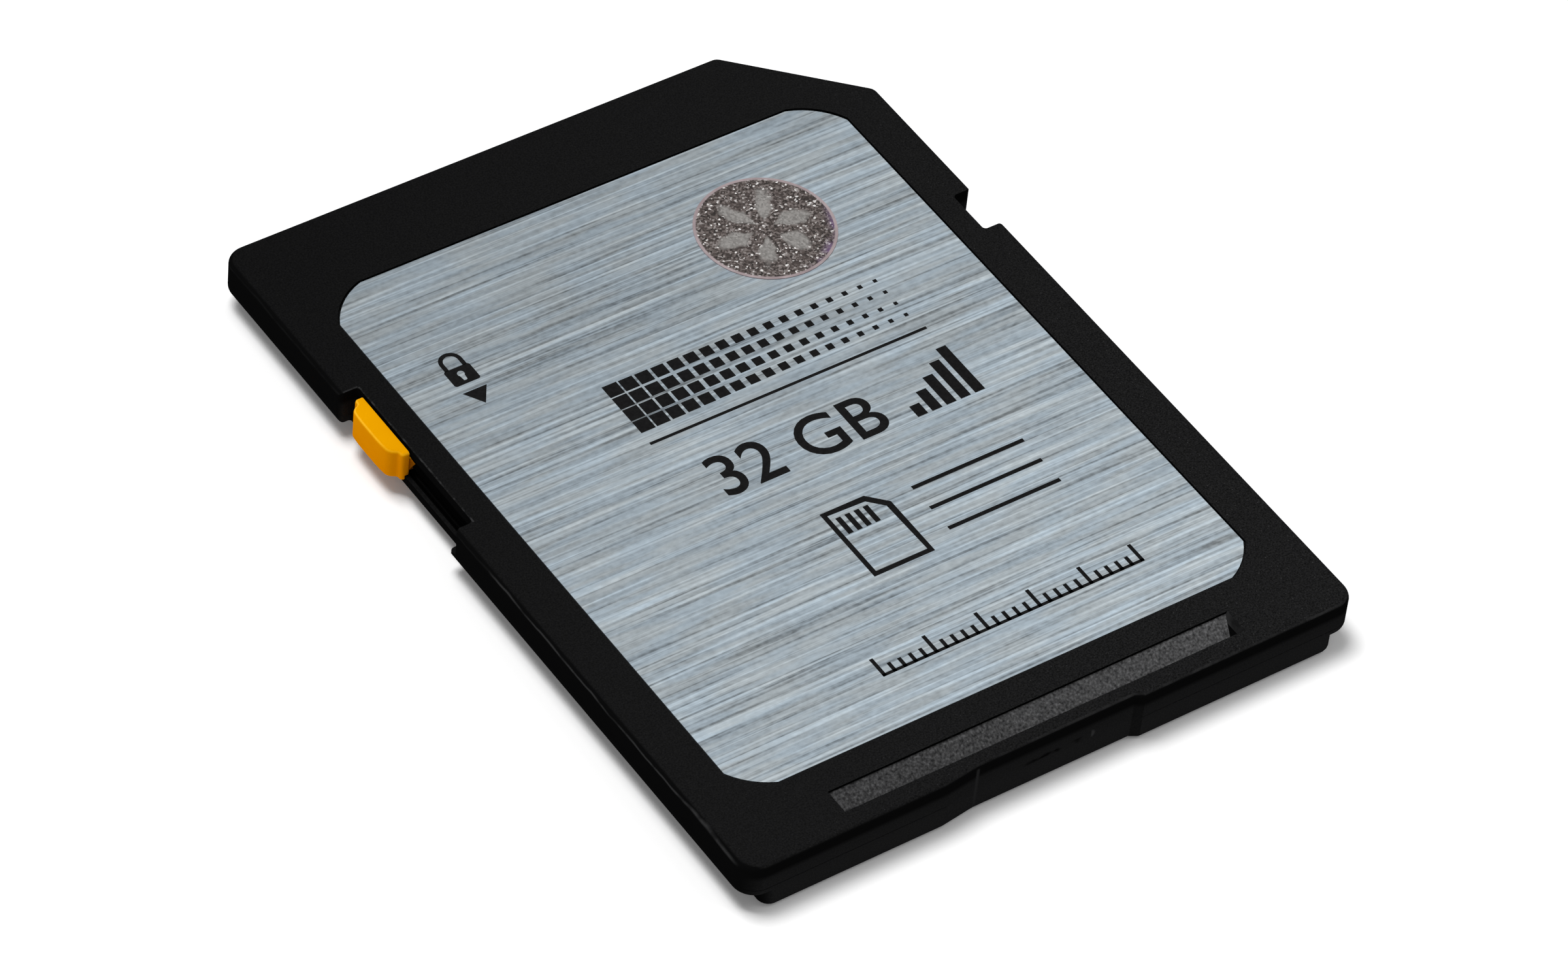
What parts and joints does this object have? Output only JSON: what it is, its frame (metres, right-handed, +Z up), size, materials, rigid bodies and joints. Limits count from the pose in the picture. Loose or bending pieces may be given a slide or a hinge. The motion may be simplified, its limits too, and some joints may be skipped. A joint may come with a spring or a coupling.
{
  "type": "sd memory card",
  "caption": "Flat full-size memory card with a cut corner, thin guide rails, recessed contact windows, a thumb groove and a sliding write-protect tab.",
  "frame": {"origin": "centre of the underside of the card's bounding box, which is the contact side it lies on", "axes": "+X to the right seen on the label side, +Y towards the contact end, +Z up to the label side"},
  "size_m": [0.024, 0.032, 0.0021],
  "materials": {
    "shell_black": "fine grain",
    "label_brushed": "brushed across",
    "seal_foil": "glitter foil",
    "slider_amber": "satin",
    "board_green": "solder mask",
    "contact_gold": "gold plated",
    "chip_resin": "moulded resin",
    "lead_tin": "tin plated",
    "capacitor_ceramic": "fired",
    "resistor_ceramic": "glazed"
  },
  "bodies": {
    "card": {"top_shell": "shell_black", "bottom_shell": "shell_black", "label": "label_brushed", "seal_disc": "seal_foil", "circuit_board": "board_green", "flash_chip": "chip_resin", "controller_chip": "chip_resin", "flash_leads": "lead_tin", "contact_pad_1": "contact_gold", "contact_pad_2": "contact_gold", "contact_pad_3": "contact_gold", "contact_pad_4": "contact_gold", "contact_pad_5": "contact_gold", "contact_pad_6": "contact_gold", "contact_pad_7": "contact_gold", "contact_pad_8": "contact_gold", "contact_pad_9": "contact_gold", "capacitor_1": "capacitor_ceramic", "capacitor_2": "capacitor_ceramic", "capacitor_3": "capacitor_ceramic", "capacitor_4": "capacitor_ceramic", "capacitor_5": "capacitor_ceramic", "resistor_1": "resistor_ceramic", "resistor_2": "resistor_ceramic", "resistor_3": "resistor_ceramic", "resistor_4": "resistor_ceramic"},
    "slider": {"write_protect_slider": "slider_amber"}
  },
  "joints": [
    {"name": "write_protect_slide", "type": "slide", "parent": "card", "child": "slider", "axis": [0, -1, 0], "range_m": [0, 0.0033]}
  ]
}
